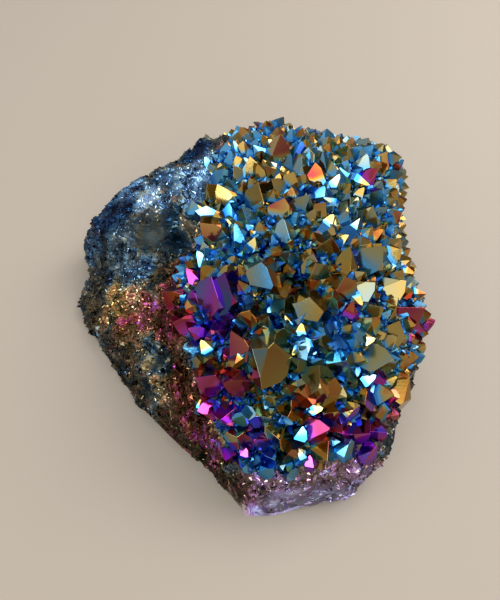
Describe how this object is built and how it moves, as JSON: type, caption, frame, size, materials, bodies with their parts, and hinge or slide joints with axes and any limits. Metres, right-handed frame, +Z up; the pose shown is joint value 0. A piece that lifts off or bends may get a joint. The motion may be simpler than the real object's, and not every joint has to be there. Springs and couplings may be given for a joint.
{
  "type": "aura druzy cluster",
  "caption": "Broken chunk of quartz with a crust of small pointed crystals on top, under an iridescent metal coating in gold, bronze, blue and violet.",
  "frame": {"origin": "under the middle of the chunk, on the flat face that it rests on", "axes": "+Z up out of the crystal field, +X to the right of the crystal field and away from the broken flank, +Y to the back, and the narrow broken tip of the chunk points to -Y"},
  "size_m": [0.0674, 0.0692, 0.0331],
  "materials": {
    "aura_coating": "iridescent metal coating on flat crystal faces, from gold and bronze on the points to deep blue in the gaps"
  },
  "bodies": {
    "root": {"druzy_cluster": "aura_coating"}
  },
  "joints": []
}
